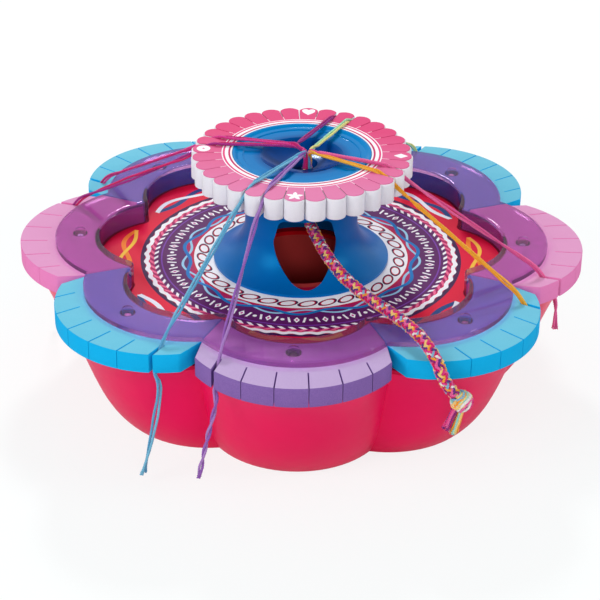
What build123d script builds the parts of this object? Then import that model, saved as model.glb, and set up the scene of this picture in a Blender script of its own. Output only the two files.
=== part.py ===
"""Round braiding machine: an eight-lobed tub, foam petals with thread slits, and a slotted disc that turns.

Millimetres. The origin is on the table under the middle, +Z up, and the front lobe points along -Y.
"""

import math
import os

from build123d import *

# Lobes of the tub, the foam and the ring
LOBES = 8
LOBE_STEP = 360 / LOBES
FRONT = -90.0

# Tub
TUB_HEIGHT = 57.0
TUB_FOOT_DISTANCE = 62.0
TUB_FOOT_RADIUS = 44.5
TUB_RIM_DISTANCE = 86.0
TUB_RIM_RADIUS = 50.0
TUB_WALL = 2.2
TUB_FLOOR = 2.4
TUB_RECESS = 1.0
TUB_FOOT_WIDTH = 9.0
TUB_FLARE = ((0.0, 0.0), (0.1, 0.17), (0.5, 0.57), (1.0, 1.0))

# Deck plate, with the skirt that centres it in the tub
DECK_THICKNESS = 2.0
SKIRT_DEPTH = 5.0
SKIRT_THICKNESS = 1.8
SKIRT_CLEARANCE = 0.5

# Well cup under the dome
WELL_OUTER_RADIUS = 30.8
WELL_WALL = 1.2
WELL_LIP_WIDTH = 1.2
WELL_LIP_DEPTH = 2.1
WELL_FLANGE_WIDTH = 1.2
WELL_FLANGE_THICKNESS = 1.2
WELL_FLOOR_GAP = 0.3
SEAT_CLEARANCE = 0.3

# Foam petals
FOAM_THICKNESS = 10.0
FOAM_DISTANCE = 89.7
FOAM_RADIUS = 52.6
FOAM_SIDE_GAP = 0.2
NOTCH_START = 112.0
NOTCH_END = 132.0
NOTCH_HALF_WIDTH = 5.2
SLIT_ANGLES = (-15.7, -9.42, -3.14, 3.14, 9.42, 15.7)
SLIT_WIDTH = 0.6
THREADED_SLIT_WIDTH = 1.6
SLIT_MARGIN = 4.2

# Clear ring
RING_DISTANCE = 70.3
RING_RADIUS = 54.2
RING_THICKNESS = 3.1
OPENING_DISTANCE = 66.0
OPENING_RADIUS = 36.3
OPENING_CORNER = 4.0
RING_WALL = 2.0
RING_LIP_ROUNDING = 1.2
RING_EDGE_BEVEL = 0.8
POST_CIRCLE = 112.3
POST_RADIUS = 3.5
POST_CLEARANCE = 0.3
DIMPLE_RADIUS = 2.5
DIMPLE_DEPTH = 0.5

# Screws into the ring's posts
SCREW_SHANK_RADIUS = 1.5
SCREW_HEAD_RADIUS = 2.8
SCREW_HEAD_HEIGHT = 1.8
SCREW_LENGTH = 10.0
SCREW_CLEARANCE = 0.2

# Printed card
CARD_THICKNESS = 0.8
CARD_CLEARANCE = 0.4
CARD_UNDER_FOOT = 0.3

# Dome
DOME_TURN = 6.0
DOME_FOOT_SETBACK = 8.4
DOME_FOOT_WIDTH = 5.2
DOME_FOOT_EDGE = 1.5
DOME_FLARE = 16.1
DOME_WAIST_HEIGHT = 22.2
DOME_TOP_TAPER = 0.8
DOME_HEIGHT = 44.6
DOME_WALL = 1.8
DOME_TOP_ROUNDING = 1.2
COLLAR_RADIUS = 13.5
COLLAR_LENGTH = 6.2
SLEEVE_WALL = 1.6
WINDOW_HALF_WIDTH = 15.5
WINDOW_HALF_WIDTH_TOP = 12.6
WINDOW_MIDDLE = 21.2
WINDOW_DROP = 18.8
WINDOW_RISE = 11.6
WINDOW_CORNER = 4.0
SILL_MIDDLE = 6.9
SILL_MARGIN = 0.5
TABS = 4
TAB_INSET = 2.2
TAB_THICKNESS = 1.6
TAB_WIDTH = 8.0
TAB_HOOK = 0.8
TAB_HOOK_HEIGHT = 1.4
TAB_CLEARANCE = 0.2

# Spindle and its clip
BEARING_GAP = 0.3
JOURNAL_RADIUS = 10.0
JOURNAL_CLEARANCE = 0.05
BORE_RADIUS = 7.8
SPINDLE_PLATE_RADIUS = 42.0
SPINDLE_PLATE_THICKNESS = 2.0
CLIP_GAP = 0.4
CLIP_THICKNESS = 1.1
CLIP_RADIUS = 13.0
CLIP_GROOVE_DEPTH = 0.8
CLIP_FIT = 0.05
CLIP_OPENING = 7.0
SPINDLE_END = 1.2

# Foam disc, its printed face and its dish
DISC_TURN = -2.3
DISC_PETALS = 32
DISC_RADIUS = 55.0
DISC_VALLEY_RADIUS = 51.4
DISC_THICKNESS = 10.6
DISC_HOLE_RADIUS = 34.7
DISC_SLIT_START = 43.5
FACE_THICKNESS = 0.4
FACE_MARGIN = 0.7
DISH_CLEARANCE = 0.2
DISH_SHELL = 1.6
DISH_RIM_WIDTH = 1.0
DISH_LEDGE_RADIUS = 31.9
DISH_LEDGE_DROP = 0.9
DISH_STEP_RADIUS = 29.0
DISH_STEP_DROP = 0.5
DISH_BOWL_RADIUS = 20.8
DISH_BOWL_DEPTH = 6.0
DISH_BOWL_MIDDLE = (14.4, 4.7)

# Threads
THREAD_DIAMETER = 1.3
THREAD_EDGE_RADIUS = 3.0

# Braid
BRAID_DIAMETER = 6.5
KNOT_RADIUS = 5.6
KNOT_FACE = 4.4
TASSEL_TOP_RADIUS = 2.6
TASSEL_END_RADIUS = 4.4
TASSEL_LENGTH = 15.0
TASSEL_DIRECTION = (-0.3, 0.0, -1.0)

# Heights that follow
deck_top = TUB_HEIGHT + DECK_THICKNESS
foam_top = deck_top + FOAM_THICKNESS
ring_top = foam_top + RING_THICKNESS
card_top = deck_top + CARD_THICKNESS
dome_top = card_top + DOME_HEIGHT
plate_bottom = dome_top + BEARING_GAP
disc_bottom = plate_bottom + SPINDLE_PLATE_THICKNESS
foam_disc_top = disc_bottom + DISC_THICKNESS
face_top = foam_disc_top + FACE_THICKNESS
floor_top = TUB_RECESS + TUB_FLOOR

# Radii that follow: the dome's sleeve stands round the well's flange, and its foot further out on the card
well_flange_radius = WELL_OUTER_RADIUS + WELL_FLANGE_WIDTH
sleeve_radius = well_flange_radius + SEAT_CLEARANCE
dome_foot_inner_radius = WELL_OUTER_RADIUS + DOME_FOOT_SETBACK
dome_foot_radius = dome_foot_inner_radius + DOME_FOOT_WIDTH
card_hole_radius = dome_foot_inner_radius - CARD_UNDER_FOOT
dome_waist_radius = dome_foot_radius - DOME_FLARE
dome_top_radius = dome_waist_radius - DOME_TOP_TAPER
tab_circle = dome_foot_radius - TAB_INSET

# Each pair of threads: petal, slit in the disc, and the tail below the foam as (radius, direction, height).
# Slits in the disc count from the front petal's right side. The back tails are out of the photograph's view.
THREADS = {
    "violet": (0, -2, [(133.6, -106.0, 43), (135.2, -107.0, 27), (136.0, -108.2, 11)]),
    "orange": (1, 5, []),
    "pink": (2, 6, [(132.2, -16.0, 50), (132.6, -16.6, 42)]),
    "mint": (3, 13, [(133.4, 61.0, 44), (135.0, 62.0, 30), (135.6, 63.2, 18)]),
    "cerise": (4, 14, [(133.2, 74.0, 43), (134.6, 73.0, 28), (135.4, 71.8, 14)]),
    "magenta": (5, 22, [(133.5, 150.4, 44), (135.3, 149.6, 29), (135.8, 148.4, 16)]),
    "plum": (6, 23, [(133.3, 164.6, 43), (134.9, 165.4, 28), (135.6, 166.6, 12)]),
    "blue": (7, -3, [(133.8, -119.5, 43), (135.8, -120.1, 25), (136.6, -120.9, 7)]),
}
THREAD_EYE = ((2.6, 111.0), (2.9, 118.5))
THREAD_BEND = (44.6, 118.5)
THREAD_LEAVES = (57.0, 111.2)
THREAD_TURNS = (60.0, 109.43)
THREAD_OVER_RING = (119.6, 74.2)
THREAD_INTO_SLIT = (123.8, 69.8)
THREAD_UNDER_FOAM = (131.4, 58.4)

# The braid's centre line, from the disc's eye out of the window and over the front right lobe to the knot
BRAID_ROUTE = [
    (0.0, 0.0, 110.4),
    (0.0, 0.0, 97.0),
    (1.2, -4.6, 89.3),
    (5.0, -14.2, 84.7),
    (8.8, -25.6, 82.5),
    (14.2, -40.2, 80.3),
    (22.8, -56.8, 77.6),
    (34.6, -71.8, 75.7),
    (48.4, -89.8, 75.6),
    (58.6, -107.0, 76.0),
    (64.9, -121.2, 72.0),
    (67.6, -122.8, 64.6),
    (70.9, -122.9, 58.9),
    (73.9, -122.6, 55.4),
]


def polar(radius, angle, z=0.0):
    """A point at a distance from the axis, in a direction in degrees, at a height."""
    turn = math.radians(angle)
    return (radius * math.cos(turn), radius * math.sin(turn), z)


def reach(distance, radius, off=0.0):
    """How far from the axis a lobe's arc lies, off degrees from the lobe's middle."""
    side = distance * math.sin(math.radians(off))
    return distance * math.cos(math.radians(off)) + math.sqrt(radius**2 - side**2)


def scalloped_wire(count, valley, peak, first, z=0.0):
    """A closed outline of equal arcs: count peaks, the first in the given direction."""
    step = 360 / count
    arcs = []
    for i in range(count):
        middle = first + i * step
        start = polar(valley, middle - step / 2, z)
        end = polar(valley, middle + step / 2, z)
        arcs.append(ThreePointArc(start, polar(peak, middle, z), end).edge())
    return Wire(arcs)


def lobed_wire(distance, radius, z=0.0):
    """The machine's eight-lobed outline, from where the lobes' arcs are centred and their radius."""
    valley = reach(distance, radius, LOBE_STEP / 2)
    return scalloped_wire(LOBES, valley, distance + radius, FRONT, z)


def lobed_face(distance, radius):
    return make_face(lobed_wire(distance, radius))


def plate(face, bottom, top):
    return extrude(Pos(0, 0, bottom) * face, top - bottom)


def disc(radius, bottom, top):
    return plate(Circle(radius), bottom, top)


def round_tube(outer, inner, bottom, top):
    return plate(Circle(outer) - Circle(inner), bottom, top)


def radial_box(inner, outer, width, bottom, top, angle):
    """A box along a radius of the machine."""
    middle = Pos((inner + outer) / 2, 0, (bottom + top) / 2)
    return Rot(0, 0, angle) * middle * Box(outer - inner, width, top - bottom)


def at_lobes(shape, radius):
    """Copies of a shape, one on each lobe's middle line."""
    return [Pos(*polar(radius, FRONT + i * LOBE_STEP)) * shape for i in range(LOBES)]


def spun(points):
    """The solid of revolution of a closed outline of (radius, height) points and edges between them."""
    return revolve(make_face(Plane.XZ * Wire(points)), Axis.Z)


def bowl(shrink):
    """The tub's lobed body, its arcs drawn in by a wall."""
    wires = []
    for height, flare in TUB_FLARE:
        distance = TUB_FOOT_DISTANCE + flare * (TUB_RIM_DISTANCE - TUB_FOOT_DISTANCE)
        radius = TUB_FOOT_RADIUS + flare * (TUB_RIM_RADIUS - TUB_FOOT_RADIUS)
        wires.append(lobed_wire(distance, radius - shrink, height * TUB_HEIGHT))
    return Solid.make_loft(wires)


def make_tub():
    widest = TUB_RIM_DISTANCE + TUB_RIM_RADIUS
    inside = bowl(TUB_WALL) - disc(widest, 0, floor_top)
    recess = lobed_face(TUB_FOOT_DISTANCE, TUB_FOOT_RADIUS - TUB_FOOT_WIDTH)
    return bowl(0.0) - inside - plate(recess, 0, TUB_RECESS)


def tab_angles():
    return [FRONT + DOME_TURN + (i + 0.5) * 360 / TABS for i in range(TABS)]


def make_deck():
    shrink = TUB_WALL + SKIRT_CLEARANCE
    widest = TUB_RIM_DISTANCE + TUB_RIM_RADIUS
    skirt = bowl(shrink) - bowl(shrink + SKIRT_THICKNESS) - disc(widest, 0, TUB_HEIGHT - SKIRT_DEPTH)
    deck = plate(lobed_face(TUB_RIM_DISTANCE, TUB_RIM_RADIUS), TUB_HEIGHT, deck_top) + skirt
    deck -= disc(WELL_OUTER_RADIUS + SEAT_CLEARANCE, TUB_HEIGHT, deck_top)
    deck -= disc(well_flange_radius + SEAT_CLEARANCE, deck_top - WELL_FLANGE_THICKNESS, deck_top)
    for hole in at_lobes(Circle(SCREW_SHANK_RADIUS + SCREW_CLEARANCE), POST_CIRCLE):
        deck -= plate(hole, TUB_HEIGHT, deck_top)
    return deck - tab_slots(TUB_HEIGHT, deck_top)


def tab_slots(bottom, top):
    """Slots for the dome's snap tabs, cut through the deck and the card."""
    half = TAB_THICKNESS / 2 + TAB_CLEARANCE
    width = TAB_WIDTH + 2 * TAB_CLEARANCE
    return [
        radial_box(tab_circle - half, tab_circle + half, width, bottom, top, angle)
        for angle in tab_angles()
    ]


def make_well():
    inner = WELL_OUTER_RADIUS - WELL_WALL
    bottom = floor_top + WELL_FLOOR_GAP
    cup = disc(WELL_OUTER_RADIUS, bottom, deck_top) - disc(inner, bottom + WELL_WALL, deck_top)
    cup += round_tube(inner, inner - WELL_LIP_WIDTH, deck_top - WELL_LIP_DEPTH, deck_top)
    return cup + round_tube(well_flange_radius, inner, deck_top - WELL_FLANGE_THICKNESS, deck_top)


def opening_face(outward=0.0):
    """The clear ring's inner outline, its inward points rounded, or one offset outwards from it."""
    distance = OPENING_DISTANCE
    radius = OPENING_RADIUS + outward
    corner = OPENING_CORNER - outward
    corner_centre = reach(distance, radius + corner, LOBE_STEP / 2)
    share = radius / (radius + corner)
    edges = []
    for i in range(LOBES):
        lobe = FRONT + i * LOBE_STEP
        hub = Vector(*polar(distance, lobe))
        next_hub = Vector(*polar(distance, lobe + LOBE_STEP))
        before = Vector(*polar(corner_centre, lobe - LOBE_STEP / 2))
        after = Vector(*polar(corner_centre, lobe + LOBE_STEP / 2))
        start = hub + (before - hub) * share
        end = hub + (after - hub) * share
        next_start = next_hub + (after - next_hub) * share
        corner_middle = polar(corner_centre - corner, lobe + LOBE_STEP / 2)
        edges.append(ThreePointArc(start, polar(distance + radius, lobe), end).edge())
        edges.append(ThreePointArc(end, corner_middle, next_start).edge())
    return make_face(Wire(edges))


def make_ring():
    ring = plate(lobed_face(RING_DISTANCE, RING_RADIUS) - opening_face(), foam_top, ring_top)
    top_face = ring.faces().sort_by(Axis.Z)[-1]
    ring = fillet(top_face.inner_wires()[0].edges(), RING_LIP_ROUNDING)
    top_face = ring.faces().sort_by(Axis.Z)[-1]
    ring = chamfer(top_face.outer_wire().edges(), RING_EDGE_BEVEL)
    ring += plate(opening_face(RING_WALL) - opening_face(), deck_top, foam_top)
    posts = at_lobes(Circle(POST_RADIUS), POST_CIRCLE)
    pilots = at_lobes(Circle(SCREW_SHANK_RADIUS), POST_CIRCLE)
    dimples = at_lobes(Circle(DIMPLE_RADIUS), POST_CIRCLE)
    for post, pilot, dimple in zip(posts, pilots, dimples):
        ring += plate(post, deck_top, foam_top)
        ring -= plate(pilot, deck_top, TUB_HEIGHT + SCREW_LENGTH)
        ring -= plate(dimple, ring_top - DIMPLE_DEPTH, ring_top)
    return ring


def make_screws():
    shank = disc(SCREW_SHANK_RADIUS, TUB_HEIGHT, TUB_HEIGHT + SCREW_LENGTH)
    head = disc(SCREW_HEAD_RADIUS, TUB_HEIGHT - SCREW_HEAD_HEIGHT, TUB_HEIGHT)
    return Compound(children=at_lobes(shank + head, POST_CIRCLE))


def threaded_slit(petal):
    """The slit that holds a pair of threads: the last one next to the petal's neighbour in the pair."""
    return SLIT_ANGLES[-1] if petal % 2 else SLIT_ANGLES[0]


def make_foam_petal(petal):
    """One foam petal, made in the direction of +X and turned to its place."""
    half = LOBE_STEP / 2
    side = [polar(0, 0)]
    for radius, gap in ((NOTCH_START, FOAM_SIDE_GAP), (NOTCH_END, NOTCH_HALF_WIDTH)):
        side.append(polar(radius, half - math.degrees(gap / radius)))
    far = FOAM_DISTANCE + FOAM_RADIUS
    corners = [p[:2] for p in side] + [(far, side[-1][1])]
    corners += [(x, -y) for x, y in reversed(corners[1:])]
    wedge = make_face(Polyline(*corners, close=True))
    inside = Rot(0, 0, -FRONT) * opening_face(RING_WALL + SEAT_CLEARANCE)
    outline = (Pos(FOAM_DISTANCE, 0) * Circle(FOAM_RADIUS) & wedge) - inside
    foam = plate(outline, deck_top, foam_top)
    foam -= Pos(POST_CIRCLE, 0) * disc(POST_RADIUS + POST_CLEARANCE, deck_top, foam_top)
    for angle in SLIT_ANGLES:
        start = reach(RING_DISTANCE, RING_RADIUS + SLIT_MARGIN, angle)
        width = THREADED_SLIT_WIDTH if angle == threaded_slit(petal) else SLIT_WIDTH
        foam -= radial_box(start, far, width, deck_top, foam_top, angle)
    return Rot(0, 0, FRONT + petal * LOBE_STEP) * foam


def make_card():
    face = opening_face(-CARD_CLEARANCE) - Circle(card_hole_radius)
    return plate(face, deck_top, card_top) - tab_slots(deck_top, card_top)


def flare_radius(waist, foot):
    """The radius of the flare's arc, which leaves the waist upright and bends out to the foot's edge."""
    run = foot - waist
    drop = DOME_WAIST_HEIGHT - DOME_FOOT_EDGE
    return (run**2 + drop**2) / (2 * run)


def flare_reach(height, waist, foot):
    """How far from the axis the flare is at a height above the card."""
    radius = flare_radius(waist, foot)
    return waist + radius - math.sqrt(radius**2 - (DOME_WAIST_HEIGHT - height) ** 2)


def flare_height(reach, waist, foot):
    """How high above the card the flare is, where it is so far from the axis."""
    radius = flare_radius(waist, foot)
    return DOME_WAIST_HEIGHT - math.sqrt(radius**2 - (waist + radius - reach) ** 2)


def flare_arc(waist, foot):
    """The dome's flare from its waist to its foot's edge, in radius and height."""
    height = (DOME_WAIST_HEIGHT + DOME_FOOT_EDGE) / 2
    middle = (flare_reach(height, waist, foot), height)
    return ThreePointArc((waist, DOME_WAIST_HEIGHT), middle, (foot, DOME_FOOT_EDGE))


def dome_outline():
    """The dome's section as edges in the plane of radius and height above the card."""
    waist = (dome_waist_radius, DOME_WAIST_HEIGHT)
    inner_waist = (dome_waist_radius - DOME_WALL, DOME_WAIST_HEIGHT)
    top_inside = DOME_HEIGHT - DOME_WALL
    bore = JOURNAL_RADIUS + JOURNAL_CLEARANCE
    outside = Polyline(waist, (dome_top_radius, DOME_HEIGHT), (bore, DOME_HEIGHT))
    collar = Polyline(
        (bore, DOME_HEIGHT),
        (bore, DOME_HEIGHT - COLLAR_LENGTH),
        (COLLAR_RADIUS, DOME_HEIGHT - COLLAR_LENGTH),
        (COLLAR_RADIUS, top_inside),
        (dome_top_radius - DOME_WALL, top_inside),
        inner_waist,
    )
    foot = Polyline(
        (dome_foot_inner_radius, DOME_FOOT_EDGE),
        (dome_foot_inner_radius, 0),
        (dome_foot_radius, 0),
        (dome_foot_radius, DOME_FOOT_EDGE),
    )
    return [
        flare_arc(dome_waist_radius, dome_foot_radius).edge(),
        *outside.edges(),
        *collar.edges(),
        flare_arc(inner_waist[0], dome_foot_inner_radius).edge(),
        *foot.edges(),
    ]


def window_face():
    """The window's outline, height up: half an ellipse below and a straight top with round corners."""
    side = WINDOW_HALF_WIDTH
    top = WINDOW_MIDDLE + WINDOW_RISE
    lower = EllipticalCenterArc((0, WINDOW_MIDDLE), side, WINDOW_DROP, 180, arc_size=180)
    upper = Polyline(
        lower @ 1,
        (WINDOW_HALF_WIDTH_TOP, top),
        (-WINDOW_HALF_WIDTH_TOP, top),
        lower @ 0,
    )
    face = make_face([*lower.edges(), *upper.edges()])
    return fillet(face.vertices().group_by(Axis.Y)[-1], WINDOW_CORNER)


def sill_face():
    """The window's sill from above, towards +Y: cut upright, it leaves the flared wall a thin edge."""
    outer_reach = flare_reach(WINDOW_MIDDLE - WINDOW_DROP, dome_waist_radius, dome_foot_radius)
    depth = outer_reach - SILL_MARGIN - SILL_MIDDLE
    curve = EllipticalCenterArc((0, SILL_MIDDLE), WINDOW_HALF_WIDTH, depth, 0, arc_size=180)
    return make_face([*curve.edges(), Line(curve @ 1, curve @ 0).edge()])


def make_dome():
    dome = Pos(0, 0, card_top) * spun(dome_outline())
    rim = dome.edges().group_by(Axis.Z)[-1].sort_by(SortBy.LENGTH)[-1]
    dome = fillet(rim, DOME_TOP_ROUNDING)
    inner_waist = dome_waist_radius - DOME_WALL
    sleeve_top = flare_height(sleeve_radius, inner_waist, dome_foot_inner_radius) + SLEEVE_WALL / 4
    sleeve_bottom = deck_top + SEAT_CLEARANCE
    dome += round_tube(sleeve_radius + SLEEVE_WALL, sleeve_radius, sleeve_bottom, card_top + sleeve_top)
    window = FRONT + DOME_TURN
    outward = Plane(origin=(0, 0, card_top), z_dir=polar(1, window))
    upright = Plane(origin=outward.origin, x_dir=outward.z_dir.cross(Vector(0, 0, 1)) * -1, z_dir=outward.z_dir)
    dome -= extrude(upright * window_face(), dome_foot_radius + DOME_WALL)
    dome -= Rot(0, 0, window - 90) * plate(sill_face(), deck_top, card_top + WINDOW_MIDDLE)
    half = TAB_THICKNESS / 2
    for angle in tab_angles():
        tip = TUB_HEIGHT - TAB_HOOK_HEIGHT
        dome += radial_box(tab_circle - half, tab_circle + half, TAB_WIDTH, tip, card_top, angle)
        hook = tab_circle + half
        dome += radial_box(hook, hook + TAB_HOOK, TAB_WIDTH, tip, TUB_HEIGHT, angle)
    return dome


def clip_top():
    return dome_top - COLLAR_LENGTH - CLIP_GAP


def make_spindle():
    bottom = clip_top() - CLIP_THICKNESS - SPINDLE_END
    spindle = disc(SPINDLE_PLATE_RADIUS, plate_bottom, disc_bottom)
    spindle += disc(JOURNAL_RADIUS, bottom, plate_bottom)
    groove = round_tube(
        JOURNAL_RADIUS,
        JOURNAL_RADIUS - CLIP_GROOVE_DEPTH,
        clip_top() - CLIP_THICKNESS - CLIP_FIT,
        clip_top() + CLIP_FIT,
    )
    return spindle - groove - disc(BORE_RADIUS, bottom, disc_bottom)


def make_clip():
    inner = JOURNAL_RADIUS - CLIP_GROOVE_DEPTH + CLIP_FIT
    bottom = clip_top() - CLIP_THICKNESS
    ring = round_tube(CLIP_RADIUS, inner, bottom, clip_top())
    return ring - radial_box(0, CLIP_RADIUS + 1, CLIP_OPENING, bottom, clip_top(), -FRONT)


def disc_slits(bottom, top):
    """The slits between the disc's petals. Those that hold threads stand open."""
    held = [slit for petal, slit, tail in THREADS.values()]
    slits = []
    for i in range(DISC_PETALS):
        width = THREADED_SLIT_WIDTH if any((slit - i) % DISC_PETALS == 0 for slit in held) else SLIT_WIDTH
        slits.append(radial_box(DISC_SLIT_START, DISC_RADIUS + 1, width, bottom, top, slit_angle(i)))
    return slits


def slit_angle(slit):
    return FRONT + DISC_TURN + (slit + 0.5) * 360 / DISC_PETALS


def petal_face(inward=0.0):
    first = FRONT + DISC_TURN
    return make_face(
        scalloped_wire(DISC_PETALS, DISC_VALLEY_RADIUS - inward, DISC_RADIUS - inward, first)
    )


def make_foam_disc():
    foam = plate(petal_face() - Circle(DISC_HOLE_RADIUS), disc_bottom, foam_disc_top)
    return foam - disc_slits(disc_bottom, foam_disc_top)


def make_disc_face():
    face = plate(petal_face(FACE_MARGIN) - Circle(DISC_HOLE_RADIUS), foam_disc_top, face_top)
    return face - disc_slits(foam_disc_top, face_top)


def make_dish():
    """A bowl with a stepped ledge, its top level with the printed face."""
    outer = DISC_HOLE_RADIUS - DISH_CLEARANCE
    ledge = face_top - DISH_LEDGE_DROP
    step = ledge - DISH_STEP_DROP
    bottom = face_top - DISH_BOWL_DEPTH
    middle = (DISH_BOWL_MIDDLE[0], face_top - DISH_BOWL_MIDDLE[1])
    top = Polyline(
        (outer, face_top),
        (outer - DISH_RIM_WIDTH, face_top),
        (DISH_LEDGE_RADIUS, ledge),
        (DISH_STEP_RADIUS + DISH_STEP_DROP, ledge),
        (DISH_STEP_RADIUS, step),
        (DISH_BOWL_RADIUS, step),
    )
    bowl_arc = ThreePointArc((DISH_BOWL_RADIUS, step), middle, (BORE_RADIUS, bottom))
    neck = Polyline(
        (BORE_RADIUS, bottom),
        (BORE_RADIUS, disc_bottom),
        (BORE_RADIUS + DISH_SHELL, disc_bottom),
        (BORE_RADIUS + DISH_SHELL, bottom - DISH_SHELL),
    )
    under_arc = ThreePointArc(
        (BORE_RADIUS + DISH_SHELL, bottom - DISH_SHELL),
        (middle[0] + DISH_SHELL / 2, middle[1] - DISH_SHELL),
        (DISH_BOWL_RADIUS + DISH_SHELL, step - DISH_SHELL),
    )
    wall = Polyline(
        (DISH_BOWL_RADIUS + DISH_SHELL, step - DISH_SHELL),
        (outer - DISH_SHELL, step - DISH_SHELL),
        (outer - DISH_SHELL, disc_bottom),
        (outer, disc_bottom),
        (outer, face_top),
    )
    return spun([*top.edges(), bowl_arc.edge(), *neck.edges(), under_arc.edge(), *wall.edges()])


def bend_radii(points, edge_bends):
    """One radius for each corner of a cord: 0.45 of the shorter run, or less where it goes round an edge."""
    radii = []
    for i in range(1, len(points) - 1):
        before = Vector(*points[i]) - Vector(*points[i - 1])
        after = Vector(*points[i + 1]) - Vector(*points[i])
        half_turn = math.radians(before.get_angle(after) / 2)
        radius = 0.45 * min(before.length, after.length) / math.tan(half_turn)
        radii.append(min(radius, edge_bends.get(i, radius)))
    return radii


def cord(points, diameter, name, edge_bends=None):
    """A tube along straight runs and tangent arcs."""
    radii = bend_radii(points, edge_bends or {})
    path = FilletPolyline(*points, radius=radii)
    section = Plane(origin=points[0], z_dir=Vector(*points[1]) - Vector(*points[0])) * Circle(diameter / 2)
    tube = sweep(section, path=path)
    ideal = math.pi * diameter**2 / 4 * path.length
    print(
        f"{name}: length {path.length:.1f}, volume ratio {tube.volume / ideal:.4f}, radii",
        [round(r, 1) for r in radii],
    )
    return tube


def thread_on_disc(name):
    """A pair's stretch from the eye over the disc's face into its slit."""
    petal, slit, tail = THREADS[name]
    angle = slit_angle(slit)
    eye = [polar(r, FRONT + petal * LOBE_STEP, z) for r, z in THREAD_EYE]
    points = eye + [polar(THREAD_BEND[0], angle, THREAD_BEND[1])]
    points.append(polar(THREAD_LEAVES[0], angle, THREAD_LEAVES[1]))
    return cord(points, THREAD_DIAMETER, f"{name} on the disc", {2: THREAD_EDGE_RADIUS})


def thread_to_foam(name):
    """A pair's stretch from the disc's edge over the ring and through the foam, with its hanging tail."""
    petal, slit, tail = THREADS[name]
    angle = slit_angle(slit)
    foam_angle = FRONT + petal * LOBE_STEP + threaded_slit(petal)
    points = [polar(r, angle, z) for r, z in (THREAD_LEAVES, THREAD_TURNS)]
    for radius, z in (THREAD_OVER_RING, THREAD_INTO_SLIT, THREAD_UNDER_FOAM):
        points.append(polar(radius, foam_angle, z))
    points += [polar(*place) for place in tail]
    return cord(points, THREAD_DIAMETER, f"{name} to the foam", {2: THREAD_EDGE_RADIUS})


def braid_end():
    """Where the braid meets its knot, and its direction there."""
    end = Vector(*BRAID_ROUTE[-1])
    return end, (end - Vector(*BRAID_ROUTE[-2])).normalized()


def make_knot():
    end, along = braid_end()
    centre = end + along * KNOT_FACE
    ball = Pos(*centre) * Sphere(KNOT_RADIUS)
    down = Vector(*TASSEL_DIRECTION).normalized()
    for face, outward in ((end, along * -1), (centre + down * KNOT_FACE, down)):
        ball -= extrude(Plane(origin=face, z_dir=outward) * Circle(KNOT_RADIUS), KNOT_RADIUS)
    return ball


def make_tassel():
    end, along = braid_end()
    down = Vector(*TASSEL_DIRECTION).normalized()
    top = end + along * KNOT_FACE + down * KNOT_FACE
    upper = Plane(origin=top, z_dir=down) * Circle(TASSEL_TOP_RADIUS)
    lower = Plane(origin=top + down * TASSEL_LENGTH, z_dir=down) * Circle(TASSEL_END_RADIUS)
    return loft([upper, lower], ruled=True)


PETAL_NAMES = (
    "front",
    "front_right",
    "right",
    "back_right",
    "back",
    "back_left",
    "left",
    "front_left",
)


def make_parts():
    """Every piece by the name of its node."""
    parts = {
        "base_tub": make_tub(),
        "deck_plate": make_deck(),
        "well_cup": make_well(),
        "clear_ring": make_ring(),
        "ring_screws": make_screws(),
        "printed_card": make_card(),
        "dome": make_dome(),
        "spindle": make_spindle(),
        "spindle_clip": make_clip(),
        "foam_disc": make_foam_disc(),
        "disc_face": make_disc_face(),
        "disc_dish": make_dish(),
        "braid": cord(BRAID_ROUTE, BRAID_DIAMETER, "braid"),
        "braid_knot": make_knot(),
        "braid_tassel": make_tassel(),
    }
    for i, name in enumerate(PETAL_NAMES):
        parts[f"foam_petal_{name}"] = make_foam_petal(i)
    for name in THREADS:
        parts[f"thread_{name}_disc"] = thread_on_disc(name)
        parts[f"thread_{name}_foam"] = thread_to_foam(name)
    return parts


os.makedirs("parts", exist_ok=True)
for node, shape in make_parts().items():
    export_step(shape, f"parts/{node}.step")
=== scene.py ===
import math
import random
from functools import partialmethod

import bpy
import numpy as np
from mathutils import Matrix, Vector
from mathutils.geometry import tessellate_polygon


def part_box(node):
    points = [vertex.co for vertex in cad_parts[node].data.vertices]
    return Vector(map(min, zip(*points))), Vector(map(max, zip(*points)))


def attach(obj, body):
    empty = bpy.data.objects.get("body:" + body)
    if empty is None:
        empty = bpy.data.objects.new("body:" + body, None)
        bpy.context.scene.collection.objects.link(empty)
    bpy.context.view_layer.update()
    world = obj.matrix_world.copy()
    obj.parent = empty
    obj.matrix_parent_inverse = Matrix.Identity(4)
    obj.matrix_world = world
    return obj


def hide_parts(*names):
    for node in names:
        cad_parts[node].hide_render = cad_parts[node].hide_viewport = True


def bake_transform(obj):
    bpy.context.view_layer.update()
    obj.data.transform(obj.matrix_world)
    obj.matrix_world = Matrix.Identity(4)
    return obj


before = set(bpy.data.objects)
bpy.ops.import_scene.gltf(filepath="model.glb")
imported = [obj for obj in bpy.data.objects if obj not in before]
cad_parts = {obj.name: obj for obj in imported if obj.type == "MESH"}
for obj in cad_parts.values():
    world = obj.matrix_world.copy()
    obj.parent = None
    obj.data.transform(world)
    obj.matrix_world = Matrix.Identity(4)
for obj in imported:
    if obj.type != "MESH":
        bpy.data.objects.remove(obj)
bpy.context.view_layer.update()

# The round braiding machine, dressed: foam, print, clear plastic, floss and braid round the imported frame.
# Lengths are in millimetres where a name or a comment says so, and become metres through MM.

MM = 0.001
TURN = 2 * math.pi

# Lobes: the front one points along -Y, and they are counted towards +X
LOBES = 8
LOBE_STEP = 360 / LOBES
FRONT = -90.0
PETAL_NAMES = ("front", "front_right", "right", "back_right", "back", "back_left", "left", "front_left")


def node_floor(node):
    """The height of a CAD node's underside, in millimetres."""
    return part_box(node)[0][2] / MM


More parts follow.
